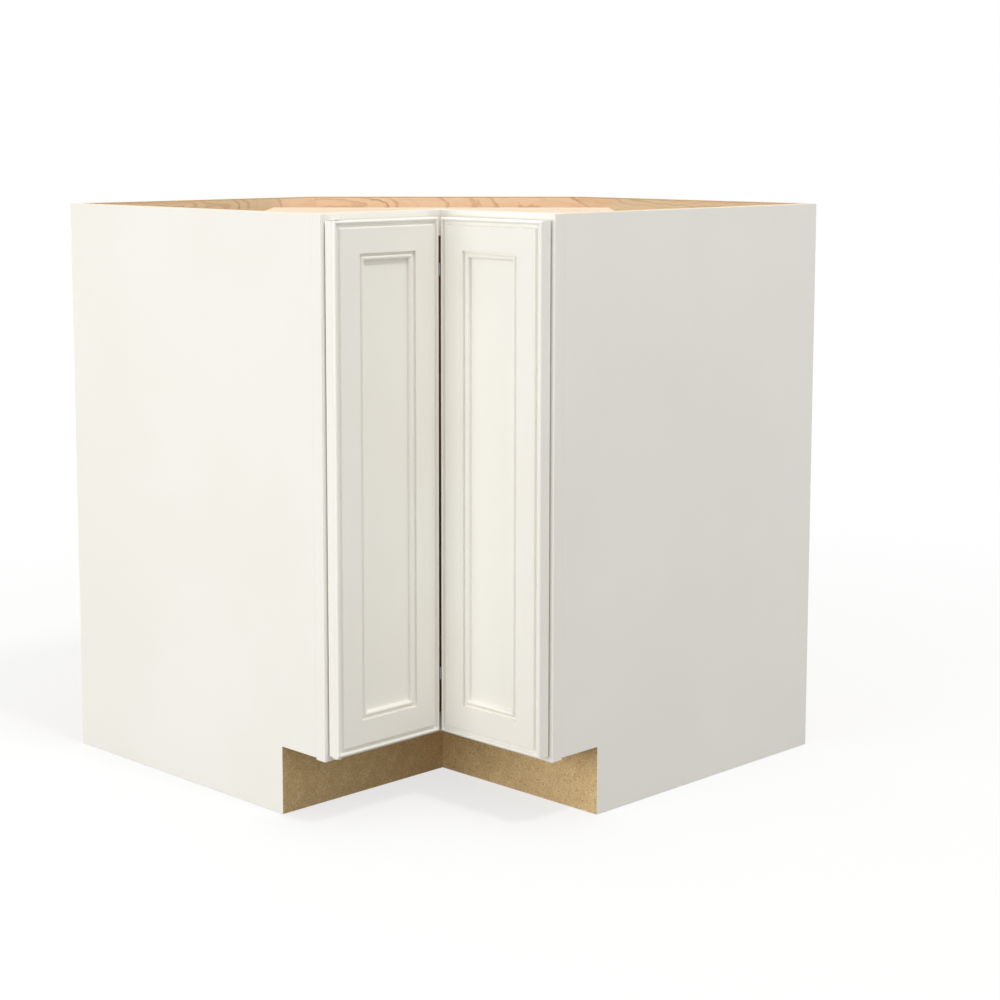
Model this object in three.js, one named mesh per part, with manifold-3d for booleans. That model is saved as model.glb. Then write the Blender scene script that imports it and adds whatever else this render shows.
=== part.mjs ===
// Corner base cabinet with two carousel trays and a folding pair of doors.
// Millimetres, +Z up. The origin is on the floor at the centre of the square footprint.
// The room walls are at -X and +Y, and the L-shaped front opens towards +X and -Y.
// Every left-hand piece is drawn once, and its right-hand twin is its mirror image across the
// vertical plane through the front inner corner (x becomes -y, and y becomes -x).

import * as THREE from 'three';
import { mergeVertices } from 'three/addons/utils/BufferGeometryUtils.js';
import ManifoldModule from 'manifold-3d';

// Overall size
const WIDTH = 831.85;
const HEIGHT = 876.3;
const DEPTH = 603.25;
const DIAGONAL_LEG = 330.2;
const HALF = WIDTH / 2;
const FRONT = DEPTH - HALF;

// Carcass boards
const END_T = 15.875;
const BACK_T = 12.7;
const DECK_T = 15.875;
const SHELF_T = 15.875;
const KICK_T = 15.875;
const BRACE_T = 15.875;
const TOE_DEPTH = 95.25;
const TOE_HEIGHT = 101.6;
const CLEAT_T = 19.05;
const CLEAT_H = 38.1;
const BRACE_HALF_LENGTH = 250;
const BRACE_REACH = 86;

// Face frame
const FRAME_T = 19.05;
const FRAME_W = 38.1;
const FRAME_BOTTOM = 98.4;
const FRAME_BACK = FRONT - FRAME_T;

// Levels
const DECK_TOP = FRAME_BOTTOM + FRAME_W;
const DECK_BOTTOM = DECK_TOP - DECK_T;
const OPENING_TOP = HEIGHT - FRAME_W;
const SHELF_TOP = (DECK_TOP + OPENING_TOP + SHELF_T) / 2;
const SHELF_BOTTOM = SHELF_TOP - SHELF_T;
const SHELF_SETBACK = 3.175;

// Inner faces of the boards
const END_INNER = HALF - END_T;
const BACK_INNER = HALF - BACK_T;
const DIAGONAL_OUTER = WIDTH - DIAGONAL_LEG;
const DIAGONAL_INNER = DIAGONAL_OUTER - BACK_T * Math.SQRT2;

// Clearances
const JOIN_GAP = 0.3;
const RUN_GAP = 0.3;
const PIN_GAP = 0.1;

// Doors
const DOOR_T = 19.05;
const DOOR_GAP = 2.4;
const DOOR_BACK = FRONT + DOOR_GAP;
const DOOR_FRONT = DOOR_BACK + DOOR_T;
const SIDE_REVEAL = 6.35;
const TOP_REVEAL = 9.5;
const DOOR_TOP = HEIGHT - TOP_REVEAL;
const BOTTOM_REVEAL = 8.7;
const DOOR_BOTTOM = FRAME_BOTTOM + BOTTOM_REVEAL;
const DOOR_OUTER = HALF - SIDE_REVEAL;
const LEAF_GAP = 0.6;
const DOOR_INNER = DOOR_FRONT + LEAF_GAP;
const DOOR_FLAT_END = 46.4;
const DOOR_MEMBER_W = 57.15;
const PANEL_BACK = 5.2;
const PANEL_FRONT = 11.75;
const PANEL_GROOVE = 48.5;
const PANEL_PLAY = 1;
// The rails end this far past the mitre, where the stile's section is already plain
const SPLIT_PAST = 0.1;
const RAIL_END_PAST = 0.4;

// Pivot hinge of the left door: the pin stands just inside the door's outer front corner
const PIVOT_INSET_FRONT = 7.775;
const PIVOT_INSET_SIDE = 5.975;
const PIVOT_X = DOOR_FRONT - PIVOT_INSET_FRONT;
const PIVOT_Y = PIVOT_INSET_SIDE - DOOR_OUTER;
const PIVOT_PIN_R = 2.2;
const PIVOT_DEPTH = 14;
const BUSH_INNER_R = PIVOT_PIN_R + PIN_GAP;
const BUSH_OUTER_R = 3.2;
const BRACKET_T = 1.5;
const BRACKET_EAR_T = 2;
const BRACKET_EAR_GAP = 0.6;
const BRACKET_WING_H = 47;
const BRACKET_WING_W = 16.6;
const BRACKET_WING_INSET = 1.575;
const BRACKET_Y1 = FRAME_W - HALF - BRACKET_WING_INSET;
const BRACKET_Y0 = BRACKET_Y1 - BRACKET_WING_W;
const BRACKET_HOLE_R = 2;
const BRACKET_HOLES = [14, 38];

// Fold hinges between the two doors
const FOLD_AXIS = DOOR_FRONT + LEAF_GAP / 2;
const FOLD_LOWER_INSET = 88;
const FOLD_UPPER_INSET = 75;
const FOLD_LEVELS = { lower: DOOR_BOTTOM + FOLD_LOWER_INSET, upper: DOOR_TOP - FOLD_UPPER_INSET };
const WING_T = 1.2;
const WING_PLATE_W = 32;
const WING_PLATE_H = 44;
const KNUCKLE_R = 1.35;
const KNUCKLE_H = 18;
const KNUCKLE_MID_H = 6;
const FOLD_PIN_R = 0.75;
const FOLD_BORE_R = FOLD_PIN_R + PIN_GAP;

// Door bumpers
const BUMPER_R = 4.5;
const BUMPER_T = 2.2;
const BUMPER_INSET = 30;
const BUMPER_SIDE_INSET = 16.7;

// Soft fin on the right door's inner edge, which closes the line of sight between the doors
const SEAL_T = 0.8;
const SEAL_REACH = 7.2;
const SEAL_BEHIND = 4.4;
const SEAL_NOTCH = 2;
const SEAL_LAP = 1.5;

// Carousel trays
const TRAY_END_CLEARANCE = 25.4;
const TRAY_DIAGONAL_CLEARANCE = 13.36;
// The axis lies where both clearances hold: each end panel, and the board across the corner
const TRAY_AXIS = (END_INNER - TRAY_END_CLEARANCE + TRAY_DIAGONAL_CLEARANCE
  - DIAGONAL_INNER / Math.SQRT2) / (1 + Math.SQRT2);
const TRAY_R = END_INNER - TRAY_AXIS - TRAY_END_CLEARANCE;
const TRAY_SETBACK = 31.75;
const TRAY_NOTCH = FRONT - TRAY_SETBACK - TRAY_AXIS;
const TRAY_FLOOR_T = 12.7;
const TRAY_RIM_T = 6.35;
const TRAY_RIM_H = 41.3;
const LIP_T = 9.5;

// Swivel bearings under the trays
const BEARING_R = 101.6;
const BEARING_INNER_R = 40;
const BEARING_H = 9.5;
const BEARING_PLATE_T = 3;
const BEARING_WALL_T = 3;
const BEARING_WALL_H = 8.3;
const BEARING_GAP = 0.6;

const BIG = 2000;
const ROUND_STEPS = 32;
const TRAY_STEPS = 128;

// Materials, one per mesh
const FINISHES = {
  white: { color: 0xf2efe6, roughness: 0.42, metalness: 0 },
  maple: { color: 0xe2bb90, roughness: 0.55, metalness: 0 },
  board: { color: 0xa88f62, roughness: 0.85, metalness: 0 },
  metal: { color: 0xb9bcbf, roughness: 0.32, metalness: 1 },
  plastic: { color: 0xe9e7e0, roughness: 0.5, metalness: 0 },
  rubber: { color: 0xdedfdc, roughness: 0.7, metalness: 0 },
  seal: { color: 0x7c573f, roughness: 0.8, metalness: 0 },
};

// Solid arithmetic
const kernel = await ManifoldModule();
kernel.setup();
const { Manifold, Mesh: SolidMesh } = kernel;

function toSolid(geometry) {
  const bare = new THREE.BufferGeometry();
  bare.setAttribute('position', geometry.getAttribute('position').clone());
  if (geometry.index) {
    bare.setIndex(geometry.index.clone());
  }
  const merged = mergeVertices(bare, 1e-4);
  return new Manifold(new SolidMesh({
    numProp: 3,
    vertProperties: new Float32Array(merged.getAttribute('position').array),
    triVerts: new Uint32Array(merged.index.array),
  }));
}

function toGeometry(solid) {
  const mesh = solid.getMesh();
  const geometry = new THREE.BufferGeometry();
  const count = mesh.vertProperties.length / mesh.numProp;
  const positions = new Float32Array(count * 3);
  for (let i = 0; i < count; i += 1) {
    for (let k = 0; k < 3; k += 1) {
      positions[i * 3 + k] = mesh.vertProperties[i * mesh.numProp + k];
    }
  }
  geometry.setAttribute('position', new THREE.BufferAttribute(positions, 3));
  geometry.setIndex(new THREE.BufferAttribute(new Uint32Array(mesh.triVerts), 1));
  return geometry;
}

function cut(base, ...tools) {
  let solid = toSolid(base);
  for (const tool of tools) {
    solid = solid.subtract(toSolid(tool));
  }
  return toGeometry(solid);
}

function join(...pieces) {
  let solid = toSolid(pieces[0]);
  for (const piece of pieces.slice(1)) {
    solid = solid.add(toSolid(piece));
  }
  return toGeometry(solid);
}

function common(a, b) {
  return toGeometry(toSolid(a).intersect(toSolid(b)));
}

// Basic shapes
function box(x0, x1, y0, y1, z0, z1) {
  const geometry = new THREE.BoxGeometry(x1 - x0, y1 - y0, z1 - z0);
  geometry.translate((x0 + x1) / 2, (y0 + y1) / 2, (z0 + z1) / 2);
  return geometry;
}

function outline(points) {
  return new THREE.Shape(points.map(([x, y]) => new THREE.Vector2(x, y)));
}

// An upright prism over an outline given as [x, y] points, counter-clockwise from above
function prism(points, z0, z1) {
  const geometry = new THREE.ExtrudeGeometry(outline(points), { depth: z1 - z0, bevelEnabled: false });
  geometry.translate(0, 0, z0);
  return geometry;
}

// A board standing in the XZ plane, from [x, z] points, between y0 and y1
function standing(points, y0, y1) {
  const geometry = new THREE.ExtrudeGeometry(outline(points), { depth: y1 - y0, bevelEnabled: false });
  geometry.rotateX(Math.PI / 2);
  geometry.translate(0, y1, 0);
  return geometry;
}

function post(x, y, radius, z0, z1, steps = ROUND_STEPS) {
  const geometry = new THREE.CylinderGeometry(radius, radius, z1 - z0, steps);
  geometry.rotateX(Math.PI / 2);
  geometry.translate(x, y, (z0 + z1) / 2);
  return geometry;
}

// The mirror image across the plane x = -y, with the faces turned outward again
function mirrored(geometry) {
  const source = geometry.index ? geometry : mergeVertices(geometry);
  const positions = source.getAttribute('position');
  const flipped = new Float32Array(positions.count * 3);
  for (let i = 0; i < positions.count; i += 1) {
    flipped[i * 3] = -positions.getY(i);
    flipped[i * 3 + 1] = -positions.getX(i);
    flipped[i * 3 + 2] = positions.getZ(i);
  }
  const faces = Array.from(source.index.array);
  for (let i = 0; i < faces.length; i += 3) {
    const held = faces[i + 1];
    faces[i + 1] = faces[i + 2];
    faces[i + 2] = held;
  }
  const result = new THREE.BufferGeometry();
  result.setAttribute('position', new THREE.BufferAttribute(flipped, 3));
  result.setIndex(faces);
  return result;
}

function mirrorPoints(points) {
  return points.map(([x, y]) => [-y, -x]).reverse();
}

// The cabinet
const cabinet = new THREE.Group();
cabinet.name = 'corner_carousel_cabinet';

function add(name, geometry, finish, x = 0, y = 0, z = 0) {
  const bare = geometry.index ? geometry.toNonIndexed() : geometry;
  bare.computeVertexNormals();
  const mesh = new THREE.Mesh(bare, new THREE.MeshStandardMaterial(FINISHES[finish]));
  mesh.name = name;
  mesh.position.set(x, y, z);
  cabinet.add(mesh);
  return mesh;
}

function addPair(name, geometry, finish) {
  add(`left_${name}`, geometry, finish);
  add(`right_${name}`, mirrored(geometry), finish);
}

// End panels: each stops behind the face frame and is notched for the toe space
const NOTCH_X = FRONT - TOE_DEPTH;
addPair('end_panel', standing([
  [-HALF, 0],
  [NOTCH_X, 0],
  [NOTCH_X, TOE_HEIGHT],
  [FRAME_BACK, TOE_HEIGHT],
  [FRAME_BACK, HEIGHT],
  [-HALF, HEIGHT],
], -HALF, -END_INNER), 'white');

// Back panels stand between the end panels and the board across the clipped corner
const backPanel = prism([
  [-HALF, -END_INNER],
  [-BACK_INNER, -END_INNER],
  [-BACK_INNER, DIAGONAL_INNER - BACK_INNER - JOIN_GAP],
  [-HALF, DIAGONAL_INNER - HALF - JOIN_GAP],
], 0, HEIGHT);
add('left_back_panel', backPanel, 'maple');
add('rear_back_panel', mirrored(backPanel), 'maple');
add('diagonal_back_panel', prism([
  [-HALF, DIAGONAL_INNER - HALF],
  [HALF - DIAGONAL_INNER, HALF],
  [HALF - DIAGONAL_OUTER, HALF],
  [-HALF, DIAGONAL_OUTER - HALF],
], 0, HEIGHT), 'maple');

// A board that fills the carcass in plan, with its L-shaped front at the given distance
function floorOutline(front) {
  const corner = DIAGONAL_INNER - JOIN_GAP * Math.SQRT2 - BACK_INNER;
  return [
    [-BACK_INNER, -END_INNER],
    [front, -END_INNER],
    [front, -front],
    [END_INNER, -front],
    [END_INNER, BACK_INNER],
    [-corner, BACK_INNER],
    [-BACK_INNER, corner],
  ];
}
add('bottom_deck', prism(floorOutline(FRAME_BACK), DECK_BOTTOM, DECK_TOP), 'maple');
add('middle_shelf', prism(floorOutline(FRAME_BACK - SHELF_SETBACK), SHELF_BOTTOM, SHELF_TOP), 'maple');

// Toe-kick boards: the right one runs past the end of the left one
add('left_toe_kick', box(NOTCH_X - KICK_T, NOTCH_X, -END_INNER, -NOTCH_X, 0, DECK_BOTTOM), 'board');
add('right_toe_kick', box(NOTCH_X - KICK_T, END_INNER, -NOTCH_X, KICK_T - NOTCH_X, 0, DECK_BOTTOM), 'board');

// Cleats screwed to the walls under the shelf and the deck
const CLEAT_BACK = BACK_INNER - CLEAT_T;
const CLEAT_END = END_INNER - CLEAT_T;
const CLEAT_STOP = DIAGONAL_INNER - BACK_INNER - CLEAT_T;
function wallCleat(top) {
  return box(-BACK_INNER, -CLEAT_BACK, -CLEAT_END, CLEAT_STOP, top - CLEAT_H, top);
}
for (const [place, top] of [['shelf', SHELF_BOTTOM], ['deck', DECK_BOTTOM]]) {
  add(`left_wall_${place}_cleat`, wallCleat(top), 'maple');
  add(`rear_wall_${place}_cleat`, mirrored(wallCleat(top)), 'maple');
}
const endCleat = box(-BACK_INNER, FRAME_BACK - CLEAT_T, -END_INNER, -CLEAT_END,
  SHELF_BOTTOM - CLEAT_H, SHELF_BOTTOM);
addPair('end_shelf_cleat', endCleat, 'maple');

// Board set diagonally behind the frame's inner corner, flush with the top
const braceSum = BRACE_HALF_LENGTH * Math.SQRT2;
const braceReach = 2 * FRONT - BRACE_REACH * Math.SQRT2;
const braceLeft = [
  [(braceReach - braceSum) / 2, -(braceReach + braceSum) / 2],
  [END_INNER - braceSum, -END_INNER],
  [FRAME_BACK, -END_INNER],
];
add('front_corner_brace', prism([
  ...braceLeft,
  [FRAME_BACK, -FRAME_BACK],
  ...mirrorPoints(braceLeft),
], HEIGHT - BRACE_T, HEIGHT), 'maple');

// Face frame: a stile at each end, and rails that meet at the inner corner without a post
addPair('frame_stile', box(FRAME_BACK, FRONT, -HALF, FRAME_W - HALF, FRAME_BOTTOM, HEIGHT), 'white');
for (const [place, z0, z1] of [
  ['top', HEIGHT - FRAME_W, HEIGHT],
  ['bottom', FRAME_BOTTOM, FRAME_BOTTOM + FRAME_W],
]) {
  add(`left_${place}_rail`, box(FRAME_BACK, FRONT, FRAME_W - HALF, -FRAME_BACK, z0, z1), 'white');
  add(`right_${place}_rail`, box(FRONT, HALF - FRAME_W, -FRONT, -FRAME_BACK, z0, z1), 'white');
}

// Door leaf: one moulded cross-section runs round all four sides, mitred at the corners.
// Points are [distance from the door's edge, height above the door's back face].
const DOOR_PROFILE = [
  [0, 0],
  [DOOR_MEMBER_W, 0],
  [DOOR_MEMBER_W, PANEL_BACK],
  [PANEL_GROOVE, PANEL_BACK],
  [PANEL_GROOVE, PANEL_FRONT],
  [DOOR_MEMBER_W, PANEL_FRONT],
  [DOOR_MEMBER_W, 13.2],
  [56.85, 14.9],
  [56.1, 16.4],
  [55, 17.4],
  [53.6, 17.9],
  [52.3, 17.7],
  [51.3, 16.8],
  [50.5, 15.5],
  [49.7, 14.8],
  [DOOR_FLAT_END, 15],
  [DOOR_FLAT_END, DOOR_T],
  [11.4, DOOR_T],
  [10.6, 17.4],
  [9.8, 15.3],
  [9, 14.8],
  [5.6, 14.8],
  [5.1, 15.6],
  [4.8, 17],
  [4.1, 18.3],
  [3.2, 18.9],
  [2.4, DOOR_T],
  [1.4, 18.65],
  [0.45, 17.6],
  [0, 16.2],
];

function mouldedRing(profile, y0, y1, z0, z1) {
  const positions = [];
  for (const [inset, height] of profile) {
    const x = DOOR_BACK + height;
    positions.push(x, y0 + inset, z0 + inset);
    positions.push(x, y1 - inset, z0 + inset);
    positions.push(x, y1 - inset, z1 - inset);
    positions.push(x, y0 + inset, z1 - inset);
  }
  const faces = [];
  const count = profile.length;
  for (let i = 0; i < count; i += 1) {
    const next = (i + 1) % count;
    for (let k = 0; k < 4; k += 1) {
      const turn = (k + 1) % 4;
      const a = i * 4 + k;
      const b = next * 4 + k;
      const c = next * 4 + turn;
      const d = i * 4 + turn;
      faces.push(a, b, c);
      faces.push(a, c, d);
    }
  }
  const geometry = new THREE.BufferGeometry();
  geometry.setAttribute('position', new THREE.BufferAttribute(new Float32Array(positions), 3));
  geometry.setIndex(faces);
  return geometry;
}

const leafRing = mouldedRing(DOOR_PROFILE, -DOOR_OUTER, -DOOR_INNER, DOOR_BOTTOM, DOOR_TOP);
const leafMiddle = -(DOOR_OUTER + DOOR_INNER) / 2;
// The rails' ends lie in the groove, clear of the plane of the step at the flat's end
const RAIL_END = DOOR_FLAT_END + RAIL_END_PAST;
function railBox(z0, z1) {
  return box(0, BIG, RAIL_END - DOOR_OUTER, -DOOR_INNER - RAIL_END, z0, z1);
}
const railZones = [
  railBox(0, DOOR_BOTTOM + DOOR_MEMBER_W + SPLIT_PAST),
  railBox(DOOR_TOP - DOOR_MEMBER_W - SPLIT_PAST, BIG),
];
const leafParts = {
  bottom_rail: common(leafRing, railZones[0]),
  top_rail: common(leafRing, railZones[1]),
  outer_stile: cut(leafRing, ...railZones, box(0, BIG, leafMiddle, BIG, 0, BIG)),
  inner_stile: cut(leafRing, ...railZones, box(0, BIG, -BIG, leafMiddle, 0, BIG)),
  panel: box(
    DOOR_BACK + PANEL_BACK,
    DOOR_BACK + PANEL_FRONT,
    PANEL_GROOVE + PANEL_PLAY - DOOR_OUTER,
    -DOOR_INNER - PANEL_GROOVE - PANEL_PLAY,
    DOOR_BOTTOM + PANEL_GROOVE + PANEL_PLAY,
    DOOR_TOP - PANEL_GROOVE - PANEL_PLAY,
  ),
};
const BORE_R = BUSH_OUTER_R + JOIN_GAP;
const hingeStile = cut(
  leafParts.outer_stile,
  post(PIVOT_X, PIVOT_Y, BORE_R, DOOR_TOP - PIVOT_DEPTH, DOOR_TOP + 1),
  post(PIVOT_X, PIVOT_Y, BORE_R, DOOR_BOTTOM - 1, DOOR_BOTTOM + PIVOT_DEPTH),
);
add('left_door_outer_stile', hingeStile, 'white');
add('right_door_outer_stile', mirrored(leafParts.outer_stile), 'white');
for (const piece of ['inner_stile', 'top_rail', 'bottom_rail', 'panel']) {
  add(`left_door_${piece}`, leafParts[piece], 'white');
  add(`right_door_${piece}`, mirrored(leafParts[piece]), 'white');
}

// A turned ring about a vertical axis, from a closed [radius, height] outline
function turned(rings, x, y, z, steps) {
  const geometry = new THREE.LatheGeometry(rings.map(([r, h]) => new THREE.Vector2(r, h)), steps);
  geometry.rotateX(Math.PI / 2);
  geometry.translate(x, y, z);
  return geometry;
}

// Pivot hinge: a bracket on the frame with an ear over the door's end and a pin down into it
const EAR = [
  [FRONT, BRACKET_Y0 - 2.5],
  [PIVOT_X - 6.5, PIVOT_Y - 4.8],
  [PIVOT_X + 2.6, PIVOT_Y - 4.8],
  [PIVOT_X + 5.2, PIVOT_Y - 1.8],
  [PIVOT_X + 5.2, PIVOT_Y + 3],
  [PIVOT_X - 3.5, BRACKET_Y0 + 4.5],
  [FRONT + 4.2, BRACKET_Y1],
  [FRONT, BRACKET_Y1],
];
// sign is 1 for the bracket at the door's top and -1 for the one at its bottom
function pivotBracket(doorEnd, sign) {
  const span = (a, b) => [doorEnd + sign * a, doorEnd + sign * b].sort((p, q) => p - q);
  const ear = prism(EAR, ...span(BRACKET_EAR_GAP, BRACKET_EAR_GAP + BRACKET_EAR_T));
  const wing = box(FRONT, FRONT + BRACKET_T, BRACKET_Y0, BRACKET_Y1,
    ...span(-BRACKET_WING_H, BRACKET_EAR_GAP + BRACKET_EAR_T));
  const pin = post(PIVOT_X, PIVOT_Y, PIVOT_PIN_R,
    ...span(-PIVOT_DEPTH + 1, BRACKET_EAR_GAP + BRACKET_EAR_T));
  const holes = BRACKET_HOLES.map((inset) => {
    const drill = new THREE.CylinderGeometry(BRACKET_HOLE_R, BRACKET_HOLE_R, 10, ROUND_STEPS);
    drill.rotateZ(Math.PI / 2);
    drill.translate(FRONT, (BRACKET_Y0 + BRACKET_Y1) / 2, doorEnd - sign * inset);
    return drill;
  });
  return cut(join(ear, wing, pin), ...holes);
}
function pivotBush(z0, z1) {
  const rings = [
    [BUSH_INNER_R, 0],
    [BUSH_OUTER_R, 0],
    [BUSH_OUTER_R, z1 - z0],
    [BUSH_INNER_R, z1 - z0],
    [BUSH_INNER_R, 0],
  ];
  return turned(rings, PIVOT_X, PIVOT_Y, z0, ROUND_STEPS);
}
add('upper_pivot_bracket', pivotBracket(DOOR_TOP, 1), 'white');
add('lower_pivot_bracket', pivotBracket(DOOR_BOTTOM, -1), 'white');
add('upper_pivot_bush', pivotBush(DOOR_TOP - PIVOT_DEPTH, DOOR_TOP), 'plastic');
add('lower_pivot_bush', pivotBush(DOOR_BOTTOM, DOOR_BOTTOM + PIVOT_DEPTH), 'plastic');

// Fold hinges: wings wrap the doors' inner edges and meet at a small knuckle in the gap
const WING_END = FOLD_AXIS - KNUCKLE_R - JOIN_GAP - 0.1;
function leftWing(level) {
  const top = level + KNUCKLE_H / 2;
  const bottom = level - KNUCKLE_H / 2;
  const midGap = KNUCKLE_MID_H / 2 + RUN_GAP;
  const plateY = -DOOR_INNER + WING_T;
  const pieces = [
    box(DOOR_BACK - WING_T, DOOR_BACK, -DOOR_INNER - WING_PLATE_W, plateY,
      level - WING_PLATE_H / 2, level + WING_PLATE_H / 2),
    box(DOOR_BACK - WING_T, WING_END, -DOOR_INNER, plateY, bottom, top),
    post(FOLD_AXIS, -FOLD_AXIS, FOLD_PIN_R, bottom, top),
  ];
  for (const [z0, z1] of [[bottom, level - midGap], [level + midGap, top]]) {
    pieces.push(box(WING_END - 1, FOLD_AXIS, -DOOR_INNER, plateY, z0, z1));
    pieces.push(post(FOLD_AXIS, -FOLD_AXIS, KNUCKLE_R, z0, z1));
  }
  return join(...pieces);
}
function rightWing(level) {
  const plateX = DOOR_INNER - WING_T;
  const z0 = level - KNUCKLE_MID_H / 2;
  const z1 = level + KNUCKLE_MID_H / 2;
  const body = join(
    box(plateX, DOOR_INNER + WING_PLATE_W, -DOOR_BACK, -DOOR_BACK + WING_T,
      level - WING_PLATE_H / 2, level + WING_PLATE_H / 2),
    box(plateX, DOOR_INNER, -WING_END, -DOOR_BACK + WING_T,
      level - KNUCKLE_H / 2, level + KNUCKLE_H / 2),
    box(plateX, DOOR_INNER, -FOLD_AXIS, 1 - WING_END, z0, z1),
    post(FOLD_AXIS, -FOLD_AXIS, KNUCKLE_R, z0, z1),
  );
  return cut(body, post(FOLD_AXIS, -FOLD_AXIS, FOLD_BORE_R, z0 - 1, z1 + 1));
}
for (const [place, level] of Object.entries(FOLD_LEVELS)) {
  add(`${place}_fold_hinge_left_wing`, leftWing(level), 'metal');
  add(`${place}_fold_hinge_right_wing`, rightWing(level), 'metal');
}

const sealFront = SEAL_BEHIND - DOOR_INNER;
const seal = cut(
  box(DOOR_INNER - SEAL_REACH, DOOR_INNER, sealFront, sealFront + SEAL_T,
    DECK_TOP - SEAL_LAP, HEIGHT - FRAME_W + SEAL_LAP),
  ...Object.values(FOLD_LEVELS).map((level) => box(DOOR_INNER - SEAL_NOTCH, DOOR_INNER + 1,
    sealFront - 1, sealFront + SEAL_T + 1, level - KNUCKLE_H / 2 - 1, level + KNUCKLE_H / 2 + 1)),
);
add('right_door_edge_seal', seal, 'seal');

// Bumpers on the right door's back face, where it shuts against the right stile
for (const [place, level] of [['upper', DOOR_TOP - BUMPER_INSET], ['lower', DOOR_BOTTOM + BUMPER_INSET]]) {
  const bumper = new THREE.CylinderGeometry(BUMPER_R, BUMPER_R, BUMPER_T, ROUND_STEPS);
  bumper.translate(DOOR_OUTER - BUMPER_SIDE_INSET, BUMPER_T / 2 - DOOR_BACK, level);
  add(`${place}_door_bumper`, bumper, 'rubber');
}

// Trays and their swivel bearings, drawn about the carousel axis at the level they stand on
function trayCutter(inner) {
  return box(inner, BIG, -BIG, -inner, -BIG, BIG);
}
const RIM_INNER_R = TRAY_R - TRAY_RIM_T;
function trayParts() {
  const base = BEARING_H;
  const top = base + TRAY_RIM_H;
  const inner = TRAY_NOTCH - LIP_T;
  const disc = (radius, z0, z1) => post(0, 0, radius, z0, z1, TRAY_STEPS);
  const round = disc(TRAY_R, base, top);
  return {
    floor: cut(disc(RIM_INNER_R - JOIN_GAP, base, base + TRAY_FLOOR_T), trayCutter(inner - JOIN_GAP)),
    rear_rim: cut(round, disc(RIM_INNER_R, base - 1, top + 1), trayCutter(inner)),
    left_lip: common(round, box(inner, TRAY_NOTCH, -BIG, -inner, -BIG, BIG)),
    right_lip: common(round, box(TRAY_NOTCH, BIG, -TRAY_NOTCH, -inner, -BIG, BIG)),
  };
}
const bearingBase = [
  [BEARING_INNER_R, 0],
  [BEARING_R, 0],
  [BEARING_R, BEARING_WALL_H],
  [BEARING_R - BEARING_WALL_T, BEARING_WALL_H],
  [BEARING_R - BEARING_WALL_T, BEARING_PLATE_T],
  [BEARING_INNER_R, BEARING_PLATE_T],
  [BEARING_INNER_R, 0],
];
const bearingTop = [
  [BEARING_INNER_R, BEARING_PLATE_T + BEARING_GAP],
  [BEARING_R - BEARING_WALL_T - BEARING_GAP, BEARING_PLATE_T + BEARING_GAP],
  [BEARING_R - BEARING_WALL_T - BEARING_GAP, BEARING_H],
  [BEARING_INNER_R, BEARING_H],
  [BEARING_INNER_R, BEARING_PLATE_T + BEARING_GAP],
];
for (const [place, level] of [['upper', SHELF_TOP], ['lower', DECK_TOP]]) {
  const parts = trayParts();
  for (const piece of ['floor', 'rear_rim', 'left_lip', 'right_lip']) {
    add(`${place}_tray_${piece}`, parts[piece], 'maple', TRAY_AXIS, -TRAY_AXIS, level);
  }
  add(`${place}_bearing_base`, turned(bearingBase, TRAY_AXIS, -TRAY_AXIS, level, TRAY_STEPS), 'metal');
  add(`${place}_bearing_top`, turned(bearingTop, TRAY_AXIS, -TRAY_AXIS, level, TRAY_STEPS), 'metal');
}

export default cabinet;
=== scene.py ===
"""Corner carousel cabinet: finishes, screw heads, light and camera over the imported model. Metres, +Z up.

Materials are procedural, in each piece's own coordinates, which are the cabinet's at rest. Noise scales are per
metre, and shares run from 0 to 1.
"""
import math
import bpy
from mathutils import Matrix, Vector


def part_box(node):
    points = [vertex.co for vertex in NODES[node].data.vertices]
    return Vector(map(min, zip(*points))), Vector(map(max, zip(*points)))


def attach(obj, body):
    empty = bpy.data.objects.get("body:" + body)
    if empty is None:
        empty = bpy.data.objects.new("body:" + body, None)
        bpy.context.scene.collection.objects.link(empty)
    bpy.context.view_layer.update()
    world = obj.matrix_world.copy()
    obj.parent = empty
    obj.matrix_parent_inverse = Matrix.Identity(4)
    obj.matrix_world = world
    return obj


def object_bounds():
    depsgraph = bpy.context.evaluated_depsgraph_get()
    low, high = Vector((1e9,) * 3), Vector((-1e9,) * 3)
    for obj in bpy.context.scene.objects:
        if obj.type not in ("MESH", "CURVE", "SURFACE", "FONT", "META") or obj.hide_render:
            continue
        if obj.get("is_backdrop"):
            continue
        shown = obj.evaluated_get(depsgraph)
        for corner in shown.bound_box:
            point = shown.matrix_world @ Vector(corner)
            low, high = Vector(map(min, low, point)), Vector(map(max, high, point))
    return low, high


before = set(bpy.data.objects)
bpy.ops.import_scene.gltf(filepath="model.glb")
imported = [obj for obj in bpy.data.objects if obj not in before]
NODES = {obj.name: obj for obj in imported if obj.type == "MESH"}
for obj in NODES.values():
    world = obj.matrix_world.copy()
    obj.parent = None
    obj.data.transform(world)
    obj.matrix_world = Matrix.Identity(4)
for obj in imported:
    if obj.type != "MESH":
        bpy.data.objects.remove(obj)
cad_low, cad_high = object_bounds()


# ---------------------------------------------------------------- colours

def srgb(red, green, blue):
    """An 0-255 screen colour as the linear colour that Blender's sockets take."""
    def linear(c):
        c /= 255
        return c / 12.92 if c <= 0.04045 else ((c + 0.055) / 1.055) ** 2.4
    return (linear(red), linear(green), linear(blue), 1.0)


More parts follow.
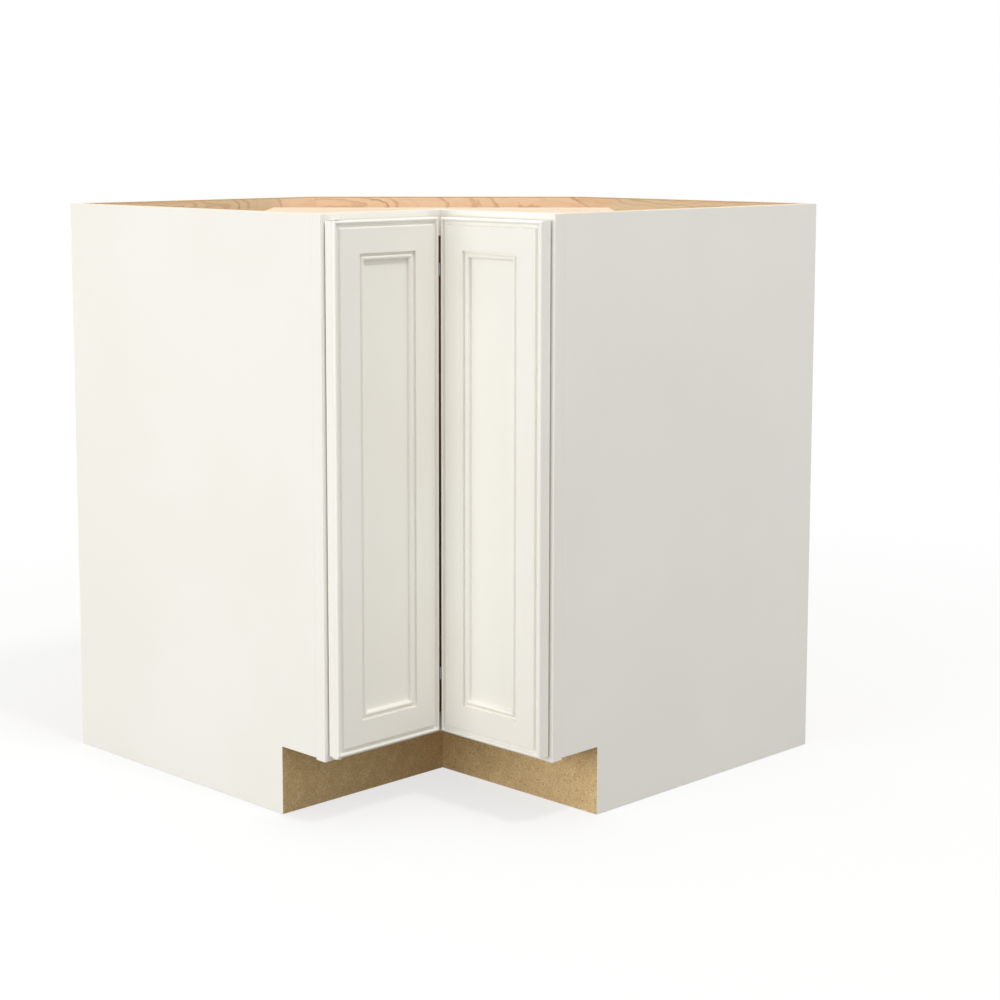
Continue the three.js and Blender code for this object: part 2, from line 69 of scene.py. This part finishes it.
WHITE = srgb(245, 243, 235)
WHITE_SHADE = srgb(243, 240, 231)
COAT = srgb(240, 238, 232)
COAT_SHADE = srgb(234, 232, 225)
WOOD_PALE = srgb(249, 222, 188)
WOOD_WARM = srgb(243, 210, 172)
WOOD_LINE = srgb(188, 134, 84)
# Painted shade: greyed wood tones that the back panels lean to towards the end panels, where they lie in shade.
WOOD_PAINTED_SHADE_GREY = srgb(157, 161, 129)
WOOD_PAINTED_SHADE_PALE = srgb(231, 229, 192)
WOOD_FIBRE = srgb(232, 196, 155)
BOARD_MID = srgb(229, 197, 139)
BOARD_DARK = srgb(182, 146, 92)
BOARD_PALE = srgb(240, 214, 166)
BOARD_SPECK = srgb(130, 97, 54)
EDGE_PALE = srgb(243, 226, 200)
STEEL = srgb(140, 137, 132)
ALUMINIUM = srgb(205, 206, 208)
BUSH = srgb(232, 230, 224)
BUMPER = srgb(222, 222, 218)
# Painted shade: the dark brown of the door gap's seal, so that the gap reads as the shaded interior behind it.
GAP_SHADE_BROWN = srgb(112, 80, 58)
FLOOR = srgb(140, 140, 139)
PURE_WHITE = (1.0, 1.0, 1.0, 1.0)


# ---------------------------------------------------------------- shader graphs

SOFT_STEP = (0.3, 0.7)      # the part of a noise's range in which one tone goes over into the other


def seen_directly(tree):
    """1 for camera, mirror and glass rays, and 0 for the rays that light the object."""
    sight = tree.nodes.new("ShaderNodeLightPath")
    seen = sight.outputs["Is Camera Ray"]
    for key in ("Is Glossy Ray", "Is Transmission Ray"):
        most = tree.nodes.new("ShaderNodeMath")
        most.operation = "MAXIMUM"
        tree.links.new(seen, most.inputs[0])
        tree.links.new(sight.outputs[key], most.inputs[1])
        seen = most.outputs[0]
    return seen


class Graph:
    """One material's node tree. Each method adds a node and returns the socket it gives."""

    def __init__(self, name):
        self.material = bpy.data.materials.new(name)
        self.material.use_nodes = True
        self.tree = self.material.node_tree
        self.tree.nodes.clear()
        self.end = self.tree.nodes.new("ShaderNodeOutputMaterial")
        coordinates = self.tree.nodes.new("ShaderNodeTexCoord")
        self.point = coordinates.outputs["Object"]
        self.normal = coordinates.outputs["Normal"]

    def add(self, kind, inputs=(), **settings):
        made = self.tree.nodes.new(kind)
        for key, value in settings.items():
            setattr(made, key, value)
        for key, value in dict(inputs).items():
            self.give(made.inputs[key], value)
        return made

    def give(self, socket, value):
        if isinstance(value, bpy.types.NodeSocket):
            self.tree.links.new(value, socket)
        else:
            socket.default_value = value

    def math(self, operation, a, b=0.0, c=0.0):
        return self.add("ShaderNodeMath", {0: a, 1: b, 2: c}, operation=operation).outputs[0]

    def times(self, a, b):
        return self.math("MULTIPLY", a, b)

    def plus(self, a, b):
        return self.math("ADD", a, b)

    def minus(self, a, b):
        return self.math("SUBTRACT", a, b)

    def length(self, a, b):
        return self.math("SQRT", self.plus(self.times(a, a), self.times(b, b)))

    def dot(self, vector, direction):
        return self.add("ShaderNodeVectorMath", {0: vector, 1: direction}, operation="DOT_PRODUCT").outputs["Value"]

    def axes(self, vector):
        parts = self.add("ShaderNodeSeparateXYZ", {0: vector})
        return parts.outputs[0], parts.outputs[1], parts.outputs[2]

    def vector(self, x, y, z):
        return self.add("ShaderNodeCombineXYZ", {0: x, 1: y, 2: z}).outputs[0]

    def scaled(self, vector, scale):
        return self.add("ShaderNodeMapping", {"Vector": vector, "Scale": scale}).outputs[0]

    def noise(self, vector, scale, detail=2.0):
        inputs = {"Vector": vector, "Scale": scale, "Detail": detail, "Roughness": 0.5}
        return self.add("ShaderNodeTexNoise", inputs).outputs["Fac"]

    def cells(self, vector, scale):
        """Voronoi cells: the distance to the cell's middle, and a random value of the cell."""
        made = self.add("ShaderNodeTexVoronoi", {"Vector": vector, "Scale": scale})
        return made.outputs["Distance"], self.axes(made.outputs["Color"])[0]

    def ramp(self, value, low, high):
        """0 where value is low, 1 where it is high, and smooth between."""
        inputs = {"Value": value, "From Min": low, "From Max": high}
        return self.add("ShaderNodeMapRange", inputs, interpolation_type="SMOOTHSTEP").outputs[0]

    def mix(self, share, a, b):
        made = self.add("ShaderNodeMix", data_type="RGBA")
        for key, value in (("Factor_Float", share), ("A_Color", a), ("B_Color", b)):
            self.give(next(s for s in made.inputs if s.identifier == key), value)
        return next(s for s in made.outputs if s.identifier == "Result_Color")

    def bump(self, height, distance):
        inputs = {"Height": height, "Distance": distance, "Strength": 1.0}
        return self.add("ShaderNodeBump", inputs).outputs[0]

    def surface(self, colour, roughness, normal, **fixed):
        """The finished material. fixed names further sockets of the shader and the values they keep."""
        inputs = {"Base Color": colour, "Roughness": roughness, "Normal": normal, **fixed}
        self.give(self.end.inputs["Surface"], self.add("ShaderNodeBsdfPrincipled", inputs).outputs[0])
        return self.material


# Each finish below gives (colour, roughness, height), so that one material can hold several.

def paint(g):
    """Satin white paint: faint clouding, fine spray texture."""
    cloud = g.noise(g.point, 4.0, 3.0)
    spray = g.noise(g.point, 700.0)
    ripple = g.noise(g.point, 90.0)
    colour = g.mix(g.ramp(cloud, *SOFT_STEP), WHITE, WHITE_SHADE)
    roughness = g.math("MULTIPLY_ADD", ripple, 0.10, 0.34)
    height = g.math("MULTIPLY_ADD", ripple, 0.15, g.times(spray, 0.4))
    return colour, roughness, height


def powder_coat(g):
    """White powder coat on steel: finer than the paint, with a slight orange peel."""
    peel = g.noise(g.point, 420.0)
    cloud = g.noise(g.point, 30.0)
    colour = g.mix(g.ramp(cloud, *SOFT_STEP), COAT, COAT_SHADE)
    return colour, g.math("MULTIPLY_ADD", peel, 0.12, 0.26), peel


def particle_board(g):
    """Pressed wood chips in three tones with dark specks, the same through the board's thickness."""
    wave = g.noise(g.point, 45.0)
    chip_gap, chip = g.cells(g.scaled(g.point, (1.0, 1.0, 0.7)), 520.0)
    _, crumb = g.cells(g.point, 1150.0)
    speck_gap, speck = g.cells(g.point, 330.0)
    tone = g.mix(g.ramp(chip, 0.1, 0.9), BOARD_MID, BOARD_PALE)
    tone = g.mix(g.times(g.ramp(crumb, 0.55, 0.8), 0.55), tone, BOARD_DARK)
    tone = g.mix(g.times(g.ramp(wave, 0.35, 0.7), 0.22), tone, BOARD_DARK)
    is_speck = g.times(g.ramp(speck, 0.80, 0.84), g.ramp(speck_gap, 0.40, 0.22))
    tone = g.mix(g.times(is_speck, 0.75), tone, BOARD_SPECK)
    height = g.plus(g.times(chip_gap, 0.5), g.times(crumb, 0.5))
    return tone, 0.82, height


RINGS_PER_METRE = 190.0
STRIP_SLIDE = 0.37          # how far one strip of veneer is shifted along its neighbour
LINE_START = (0.50, 0.90)   # where in a ring its dark line sets in, and where it is over
LINE_END = (1.0, 0.93)
RINGS_SHOWN = (0.38, 0.62)  # the rings whose random strength is above this show a line
QUIET_FROM = (0.03, 0.10)   # metres from the heart over which the lines grow faint
QUIET_SHARE = 0.65


def maple(g, along, across, heart, lean=0.10, leaf=0.24, offset=0.0):
    """Clear-coated plain-sawn maple. along and across are sockets in metres; heart is the across value at which
    the arches close, lean how fast the growth rings rise along the board, leaf the width of one strip of veneer,
    and offset where along the log the board was cut."""
    wander = g.noise(g.vector(along, across, offset), 5.0)
    from_heart = g.minus(across, heart)
    strip = g.math("ROUND", g.math("DIVIDE", from_heart, leaf))
    run = g.plus(along, g.math("MULTIPLY_ADD", strip, STRIP_SLIDE, offset))
    jolt = g.minus(g.noise(g.vector(run, across, strip), 26.0, 3.0), 0.5)
    kink = g.minus(g.noise(g.vector(run, across, 4.7), 34.0), 0.5)
    side = g.math("MULTIPLY_ADD", kink, 0.008, g.minus(from_heart, g.times(strip, leaf)))
    rise = g.math("MULTIPLY_ADD", g.minus(wander, 0.5), 0.06, g.times(run, lean))
    rise = g.math("MULTIPLY_ADD", jolt, 0.010, rise)

    def streaks(rate_along, rate_across, detail=2.0):
        return g.noise(g.vector(g.times(run, rate_along), g.times(side, rate_across), strip), 1.0, detail)

    shake = streaks(9.0, 60.0)
    rings = g.math("MULTIPLY_ADD", shake, 0.9, g.times(g.length(side, rise), RINGS_PER_METRE))
    step = g.math("FRACT", rings)
    line = g.times(g.ramp(step, *LINE_START), g.ramp(step, *LINE_END))
    strength = g.noise(g.vector(g.times(g.math("FLOOR", rings), 7.31), strip, 0.0), 1.7, 0.0)
    line = g.times(line, g.ramp(strength, *RINGS_SHOWN))
    quiet = g.times(g.ramp(g.math("ABSOLUTE", side), *QUIET_FROM), QUIET_SHARE)
    line = g.times(line, g.minus(1.0, quiet))
    fibres = streaks(22.0, 900.0, 3.0)
    pores = streaks(160.0, 2600.0, 1.0)
    bands = streaks(1.6, 38.0)
    flame = streaks(30.0, 90.0)
    colour = g.mix(g.ramp(bands, *SOFT_STEP), WOOD_PALE, WOOD_WARM)
    colour = g.mix(g.times(g.ramp(flame, 0.50, 0.72), 0.30), colour, WOOD_FIBRE)
    colour = g.mix(g.times(g.ramp(fibres, 0.45, 0.75), 0.40), colour, WOOD_FIBRE)
    colour = g.mix(g.times(g.ramp(pores, 0.60, 0.75), 0.22), colour, WOOD_LINE)
    colour = g.mix(g.times(line, 0.80), colour, WOOD_LINE)
    roughness = g.math("MULTIPLY_ADD", fibres, 0.14, 0.36)
    return colour, roughness, g.times(pores, 0.25)


def pick(g, share, first, second):
    """The second finish where share is 1, and the first where it is 0."""
    colour = g.mix(share, first[0], second[0])
    rest = []
    for a, b in zip(first[1:], second[1:]):
        rest.append(g.plus(g.times(a, g.minus(1.0, share)), g.times(b, share)))
    return (colour, *rest)


def facing(g, direction, low=0.6, high=0.8):
    """1 on faces that look along direction, in the piece's own axes."""
    return g.ramp(g.dot(g.normal, direction), low, high)


def dress(name, finish, depth):
    """The material of one finish, whose bump is depth metres high."""
    colour, roughness, height = finish(g := Graph(name))
    return g.surface(colour, roughness, g.bump(height, depth))


# ---------------------------------------------------------------- the finishes of the CAD nodes

def wear(names, material):
    for name in names:
        slots = NODES[name].material_slots
        slots[0].link = "OBJECT"
        slots[0].material = material


WOOD_BUMP = 0.0002
CUT_EDGE = (0.0022, 0.0010)     # below the top, where the darker line of a back panel's cut edge starts and is full
CUT_EDGE_SHARE = 0.55
RIM_RADIUS = 0.35


def end_panel(name, outward):
    """White outside, maple inside, raw board where the core shows, and a pale strip on top."""
    def finish(g):
        x, y, z = g.axes(g.point)
        level = x if outward[1] else y
        inside = maple(g, z, level, 0.1, 0.08, 0.3, 0.2)
        core = particle_board(g)
        top = (EDGE_PALE, 0.6, core[2])
        look = pick(g, facing(g, outward, 0.1, 0.3), core, paint(g))
        look = pick(g, facing(g, [-v for v in outward]), look, inside)
        return pick(g, facing(g, (0, 0, 1)), look, top)
    return dress(name, finish, WOOD_BUMP)


def back_panel(name, inward, heart, offset, shade_tint=None, share=0.0, clear=0.0, full=1.0):
    """Maple with level grain inside, raw board outside and on the edges. share is how far the veneer leans to the
    tint colour, a painted shade that greys the panel towards one end, from nothing at clear to all of it at full,
    two places along the panel."""
    def finish(g):
        x, y, z = g.axes(g.point)
        along = {(1, 0): y, (0, -1): x}.get(inward)
        if along is None:
            along = g.times(g.plus(x, y), math.sqrt(0.5))
        colour, roughness, height = maple(g, along, z, heart, offset=offset)
        if shade_tint:
            # painted shade: the veneer greys towards one end of the panel, from clear to full
            colour = g.mix(g.times(g.ramp(along, clear, full), share), colour, shade_tint)
        cut_edge = g.ramp(z, *(cad_high.z - below for below in CUT_EDGE))
        colour = g.mix(g.times(cut_edge, CUT_EDGE_SHARE), colour, WOOD_LINE)
        length = math.hypot(*inward)
        inner_side = facing(g, (inward[0] / length, inward[1] / length, 0))
        return pick(g, inner_side, particle_board(g), (colour, roughness, height))
    return dress(name, finish, WOOD_BUMP)


def board(name, grain, heart, offset, lean=0.07):
    """A flat board whose grain runs along grain, "x" or "y", with maple on every side."""
    def finish(g):
        x, y, z = g.axes(g.point)
        along, across = (x, y) if grain == "x" else (y, x)
        return maple(g, along, g.plus(across, z), heart, lean, 0.30, offset)
    return dress(name, finish, WOOD_BUMP)


def cleat(name, direction, offset):
    """A strip of maple with its grain along direction, which is level."""
    def finish(g):
        across = g.dot(g.point, (-direction[1], direction[0], 1.0))
        return maple(g, g.dot(g.point, direction), across, 0.0, 0.03, 0.20, offset)
    return dress(name, finish, WOOD_BUMP)


def rim(name, axis, offset):
    """A bent strip: its grain runs round the tray's axis, and the seam is in the notch."""
    def finish(g):
        x, y, z = g.axes(g.add("ShaderNodeVectorMath", {0: g.point, 1: axis}, operation="SUBTRACT").outputs[0])
        turn = g.math("ARCTAN2", g.plus(x, y), g.minus(y, x))
        return maple(g, g.times(turn, RIM_RADIUS), z, 0.02, 0.04, 0.30, offset)
    return dress(name, finish, WOOD_BUMP)


DOOR_NODES = [name for name in NODES if "_door_" in name and "bumper" not in name]
FRAME_NODES = [name for name in NODES if name.endswith(("frame_stile", "top_rail", "bottom_rail"))]
X_AXIS, Y_AXIS = (1, 0, 0), (0, 1, 0)
DIAGONAL = (0.70711, 0.70711, 0)

wear(DOOR_NODES + FRAME_NODES, dress("white_paint", paint, 0.00004))
wear(["left_end_panel"], end_panel("left_end_faces", (0, -1, 0)))
wear(["right_end_panel"], end_panel("right_end_faces", (1, 0, 0)))
wear(["left_toe_kick", "right_toe_kick"], dress("particle_board", particle_board, 0.00025))
# painted shade: the left back panel greys towards the left end panel
wear(["left_back_panel"], back_panel("left_back_faces", (1, 0), 0.866, 0.31, WOOD_PAINTED_SHADE_GREY, 0.30, 0.03, -0.03))
wear(["diagonal_back_panel"], back_panel("diagonal_back_faces", (1, -1), 0.862, 0.36))
# painted shade: the rear back panel greys towards the right end panel
wear(["rear_back_panel"], back_panel("rear_back_faces", (0, -1), 0.884, -0.22, WOOD_PAINTED_SHADE_PALE, 0.36, -0.03, 0.03))
wear(["bottom_deck"], board("deck_maple", "x", -0.1, 0.5))
wear(["middle_shelf"], board("shelf_maple", "x", 0.12, 0.9))
wear(["front_corner_brace"], cleat("brace_maple", DIAGONAL, 0.4))
for index, name in enumerate(n for n in sorted(NODES) if n.endswith("cleat")):
    grain = X_AXIS if name.startswith(("rear", "left_end")) else Y_AXIS
    wear([name], cleat(name + "_maple", grain, 0.3 * index))
bearing_low, bearing_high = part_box("upper_bearing_base")
tray_middle = (bearing_low + bearing_high) / 2
tray_axis = (tray_middle.x, tray_middle.y, 0)
for offset, place in enumerate(("upper", "lower")):
    wear([f"{place}_tray_floor"], board(f"{place}_tray_floor_maple", "y", 0.05, 1.3 + offset, 0.05))
    wear([f"{place}_tray_rear_rim"], rim(f"{place}_tray_rim_maple", tray_axis, offset))
    wear([f"{place}_tray_left_lip"], cleat(f"{place}_left_lip_maple", Y_AXIS, 0.7 + offset))
    wear([f"{place}_tray_right_lip"], cleat(f"{place}_right_lip_maple", X_AXIS, 0.2 + offset))


def shaded(colour, share):
    """The colour at share of its brightness."""
    return [channel * share for channel in colour[:3]] + [1.0]


def metal(name, colour, roughness, stretch):
    """Plated or drawn metal: fine lines, drawn out where stretch is small, and slightly uneven gloss."""
    g = Graph(name)
    lines = g.noise(g.scaled(g.point, stretch), 1.0, 3.0)
    patches = g.noise(g.point, 120.0)
    tone = g.mix(g.ramp(lines, *SOFT_STEP), colour, shaded(colour, 0.82))
    gloss = g.math("MULTIPLY_ADD", patches, 0.16, roughness)
    return g.surface(tone, gloss, g.bump(lines, 0.00002), Metallic=1.0)


def moulded(name, colour, roughness):
    """Matt moulded plastic or soft rubber."""
    g = Graph(name)
    grain = g.noise(g.point, 1400.0)
    cloud = g.noise(g.point, 160.0)
    tone = g.mix(g.ramp(cloud, *SOFT_STEP), colour, shaded(colour, 0.94))
    return g.surface(tone, g.math("MULTIPLY_ADD", grain, 0.1, roughness), g.bump(grain, 0.00003))


steel = metal("plated_steel", STEEL, 0.26, (900, 900, 60))
for part, material in (
    ("pivot_bracket", dress("powder_coat", powder_coat, 0.00003)),
    ("fold_hinge", steel),
    ("bearing", metal("satin_aluminium", ALUMINIUM, 0.34, (420, 420, 420))),
    ("pivot_bush", moulded("bush_plastic", BUSH, 0.45)),
    ("bumper", moulded("bumper_pad", BUMPER, 0.35)),
    # painted shade: the seal in the door gap is dark brown in place of the shaded interior seen through the gap
    ("edge_seal", moulded("seal_painted_gap_shade", GAP_SHADE_BROWN, 0.75)),
):
    wear([name for name in NODES if part in name], material)


# ---------------------------------------------------------------- edges

SMOOTH_BELOW = math.radians(28)


def normals_by_angle():
    """A modifier tree: joins the imported triangles, drops their stored normals, and shades the edges below
    SMOOTH_BELOW smooth."""
    tree = bpy.data.node_groups.new("smooth_below_angle", "GeometryNodeTree")
    tree.interface.new_socket("Geometry", in_out="INPUT", socket_type="NodeSocketGeometry")
    tree.interface.new_socket("Geometry", in_out="OUTPUT", socket_type="NodeSocketGeometry")
    start = tree.nodes.new("NodeGroupInput").outputs[0]
    joined = tree.nodes.new("GeometryNodeMergeByDistance")
    joined.inputs["Distance"].default_value = 1e-6
    plain = tree.nodes.new("GeometryNodeRemoveAttribute")
    plain.inputs["Name"].default_value = "custom_normal"
    faces = tree.nodes.new("GeometryNodeSetShadeSmooth")
    faces.domain = "FACE"
    faces.inputs["Shade Smooth"].default_value = True
    angle = tree.nodes.new("GeometryNodeInputMeshEdgeAngle")
    sharp = tree.nodes.new("FunctionNodeCompare")
    sharp.data_type = "FLOAT"
    sharp.operation = "GREATER_THAN"
    sharp.inputs[1].default_value = SMOOTH_BELOW
    edges = tree.nodes.new("GeometryNodeSetShadeSmooth")
    edges.domain = "EDGE"
    edges.inputs["Shade Smooth"].default_value = False
    end = tree.nodes.new("NodeGroupOutput")
    links = tree.links
    links.new(start, joined.inputs[0])
    links.new(joined.outputs[0], plain.inputs[0])
    links.new(plain.outputs[0], faces.inputs[0])
    links.new(angle.outputs[0], sharp.inputs[0])
    links.new(faces.outputs[0], edges.inputs[0])
    links.new(sharp.outputs[0], edges.inputs["Selection"])
    links.new(edges.outputs[0], end.inputs[0])
    return tree


# How far each sharp edge is eased, by a part of the node's name. The doors' mouldings keep their flat faces.
EASED = {
    "end_panel": 0.0006, "back_panel": 0.0005, "deck": 0.0006, "shelf": 0.0006, "frame_stile": 0.0004,
    "top_rail": 0.0004, "bottom_rail": 0.0004, "toe_kick": 0.0005, "cleat": 0.0008, "brace": 0.0010, "lip": 0.0012,
}
shading = normals_by_angle()
for name, node in NODES.items():
    if name in DOOR_NODES:
        continue
    smooth = node.modifiers.new("normals", "NODES")
    smooth.node_group = shading
    eased = next((width for key, width in EASED.items() if key in name), None)
    if eased:
        bevel = node.modifiers.new("eased_edges", "BEVEL")
        bevel.width = eased
        bevel.segments = 2
        bevel.limit_method = "ANGLE"
        bevel.angle_limit = math.radians(40)
        bevel.harden_normals = True


# ---------------------------------------------------------------- small fastenings

def solid(name, points, faces):
    mesh = bpy.data.meshes.new(name)
    mesh.from_pydata(points, [], faces)
    return mesh


def lathe(name, outline, steps):
    """A closed turned shape from (radius, height) points; the first and last are on the axis."""
    points = [(0.0, 0.0, outline[0][1])]
    faces = []
    rings = outline[1:-1]
    for radius, height in rings:
        for k in range(steps):
            turn = 2 * math.pi * k / steps
            points.append((radius * math.cos(turn), radius * math.sin(turn), height))
    points.append((0.0, 0.0, outline[-1][1]))
    last = len(points) - 1
    for k in range(steps):
        after = (k + 1) % steps
        faces.append((0, 1 + after, 1 + k))
        for ring in range(len(rings) - 1):
            a = 1 + ring * steps
            b = a + steps
            faces.append((a + k, a + after, b + after, b + k))
        faces.append((last - steps + k, last - steps + after, last))
    return solid(name, points, faces)


def box_points(half):
    x, y, z = half
    points = [(sx * x, sy * y, sz * z) for sx in (-1, 1) for sy in (-1, 1) for sz in (-1, 1)]
    faces = [(0, 1, 3, 2), (4, 6, 7, 5), (0, 4, 5, 1), (2, 3, 7, 6), (0, 2, 6, 4), (1, 5, 7, 3)]
    return points, faces


HEAD_OUTLINE = (    # (radius, height) of a low pan head
    (0, -0.0002), (0.0033, -0.0002), (0.0033, 0.00012), (0.0030, 0.00034), (0.0024, 0.00050), (0.0015, 0.00060),
    (0, 0.00064),
)
RECESS_LONG, RECESS_WIDE, RECESS_DEEP = 0.0017, 0.00042, 0.0004     # half sizes of one bar of the cross
RECESS_LEVEL = 0.00065


def screw_head():
    """A low pan head with a cross recess, its underside just below z = 0."""
    link = bpy.context.scene.collection.objects.link
    head = bpy.data.objects.new("head", lathe("head", HEAD_OUTLINE, 32))
    link(head)
    bars = []
    for half in ((RECESS_LONG, RECESS_WIDE, RECESS_DEEP), (RECESS_WIDE, RECESS_LONG, RECESS_DEEP)):
        bar = bpy.data.objects.new("recess", solid("recess", *box_points(half)))
        bar.location.z = RECESS_LEVEL
        link(bar)
        bars.append(bar)
        cut = head.modifiers.new("recess", "BOOLEAN")
        cut.object = bar
        cut.solver = "EXACT"
    eased = head.modifiers.new("eased", "BEVEL")
    eased.width = 0.00006
    eased.segments = 2
    eased.limit_method = "ANGLE"
    eased.angle_limit = math.radians(50)
    bpy.context.view_layer.update()
    made = bpy.data.meshes.new_from_object(head.evaluated_get(bpy.context.evaluated_depsgraph_get()))
    made.name = "screw_head"
    for used in (head, *bars):
        bpy.data.objects.remove(used)
    made.materials.clear()
    made.materials.append(steel)
    return made


def place_screws(group, body, places, outward):
    """Screw heads at places, looking along outward, each turned a little differently."""
    along = Vector(outward).to_track_quat("Z", "Y").to_matrix().to_4x4()
    for index, place in enumerate(places, 1):
        head = bpy.data.objects.new(f"{group}_screw_{index}", SCREW)
        turn = Matrix.Rotation(0.7 * index + 0.3 * len(group), 4, "Z")
        head.matrix_world = Matrix.Translation(place) @ along @ turn
        bpy.context.scene.collection.objects.link(head)
        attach(head, body)


SCREW = screw_head()
BRACKET_T = 0.0015                  # sheet thickness of a pivot bracket
BRACKET_WING_W = 0.0166             # width of the wing that lies on the frame
EAR_END = 0.0026                    # from the bracket's end face to the wing's end
BRACKET_HOLES = (0.014, 0.038)      # from the wing's end
WING_HOLES = ((0.009, 0.014), (0.009, -0.014), (0.024, 0.0))    # from a hinge wing's edge, above its middle
TRAY_SCREWS_RADIUS = 0.07
for name, sign in (("upper_pivot_bracket", -1), ("lower_pivot_bracket", 1)):
    low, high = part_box(name)
    end = high.z - EAR_END if sign < 0 else low.z + EAR_END
    middle = high.y - BRACKET_WING_W / 2
    places = [(low.x + BRACKET_T, middle, end + sign * hole) for hole in BRACKET_HOLES]
    place_screws(name, "carcass", places, (1, 0, 0))
for place in ("upper", "lower"):
    low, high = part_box(f"{place}_fold_hinge_left_wing")
    level = (low.z + high.z) / 2
    places = [(low.x, low.y + inset, level + rise) for inset, rise in WING_HOLES]
    place_screws(f"{place}_left_wing", "left_door", places, (-1, 0, 0))
    low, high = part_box(f"{place}_fold_hinge_right_wing")
    places = [(high.x - inset, high.y, level + rise) for inset, rise in WING_HOLES]
    place_screws(f"{place}_right_wing", "right_door", places, (0, 1, 0))
    low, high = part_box(f"{place}_tray_floor")
    places = []
    for turn in (math.radians(45 + 90 * k) for k in range(4)):
        x = tray_middle.x + TRAY_SCREWS_RADIUS * math.cos(turn)
        y = tray_middle.y + TRAY_SCREWS_RADIUS * math.sin(turn)
        places.append((x, y, high.z))
    place_screws(f"{place}_tray", f"{place}_tray", places, (0, 0, 1))


# ---------------------------------------------------------------- floor, light and camera

FLOOR_HALF = 9.0
FLOOR_LIFT = 0.70           # how far the floor glows where it is looked at, so that it shows white
WHITE_FROM = (1.1, 2.4)     # metres from the middle over which the floor goes over into the white background


def floor():
    """A plain pale floor that shows white to the camera and still takes the shadow."""
    mesh = bpy.data.meshes.new("floor")
    corners = [(x * FLOOR_HALF, y * FLOOR_HALF, 0) for x, y in ((-1, -1), (1, -1), (1, 1), (-1, 1))]
    mesh.from_pydata(corners, [], [(0, 1, 2, 3)])
    made = bpy.data.objects.new("floor", mesh)
    made.location.z = -0.0005
    bpy.context.scene.collection.objects.link(made)
    g = Graph("floor_white")
    seen = seen_directly(g.tree)
    x, y, _ = g.axes(g.point)
    far = g.times(g.ramp(g.length(x, y), *WHITE_FROM), seen)
    matt = g.add("ShaderNodeBsdfDiffuse", {"Color": FLOOR}).outputs[0]
    glow = g.add("ShaderNodeEmission", {"Color": PURE_WHITE, "Strength": g.times(seen, FLOOR_LIFT)}).outputs[0]
    near = g.add("ShaderNodeAddShader", {0: matt, 1: glow}).outputs[0]
    blank = g.add("ShaderNodeEmission", {"Color": PURE_WHITE, "Strength": 1.0}).outputs[0]
    g.give(g.end.inputs["Surface"], g.add("ShaderNodeMixShader", {0: far, 1: near, 2: blank}).outputs[0])
    mesh.materials.append(g.material)
    made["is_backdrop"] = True


AIM = Vector((0.0, 0.0, 0.45))


def lamp(name, place, size, watts):
    """A square lamp that looks at the middle of the cabinet."""
    data = bpy.data.lights.new(name, "AREA")
    data.shape = "SQUARE"
    data.size = size
    data.energy = watts
    made = bpy.data.objects.new(name, data)
    made.location = place
    made.rotation_euler = (AIM - Vector(place)).to_track_quat("-Z", "Y").to_euler()
    made.visible_camera = False
    bpy.context.scene.collection.objects.link(made)


def sky(strength):
    """White to the camera and in reflections, and an even soft light on the object."""
    world = bpy.data.worlds.new("studio")
    bpy.context.scene.world = world
    world.use_nodes = True
    tree = world.node_tree
    tree.nodes.clear()
    choose = tree.nodes.new("ShaderNodeMixShader")
    tree.links.new(seen_directly(tree), choose.inputs[0])
    for socket, level in ((1, strength), (2, 1.0)):
        light = tree.nodes.new("ShaderNodeBackground")
        light.inputs["Color"].default_value = PURE_WHITE
        light.inputs["Strength"].default_value = level
        tree.links.new(light.outputs[0], choose.inputs[socket])
    end = tree.nodes.new("ShaderNodeOutputWorld")
    tree.links.new(choose.outputs[0], end.inputs["Surface"])


def camera():
    """The photograph's viewpoint, fitted to the cabinet's corners in it."""
    data = bpy.data.cameras.new("camera")
    data.sensor_width = 36.0
    data.lens = 75.58
    data.shift_x = 0.03
    data.shift_y = -0.10
    data.clip_end = 50.0
    made = bpy.data.objects.new("camera", data)
    made.location = (2.3902, -2.3077, 0.9881)
    made.rotation_euler = (math.radians(82.724), 0.0, math.radians(45.277))
    bpy.context.scene.collection.objects.link(made)
    bpy.context.scene.camera = made


floor()
sky(0.77)
lamp("key", (-0.2, -3.6, 0.8), 1.5, 48.0)
lamp("top", (3.6, -0.4, 6.4), 1.0, 165.0)
lamp("rear", (-3.4, 1.0, 1.2), 1.5, 12.0)
camera()
bpy.context.scene.view_settings.view_transform = "Standard"

low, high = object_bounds()
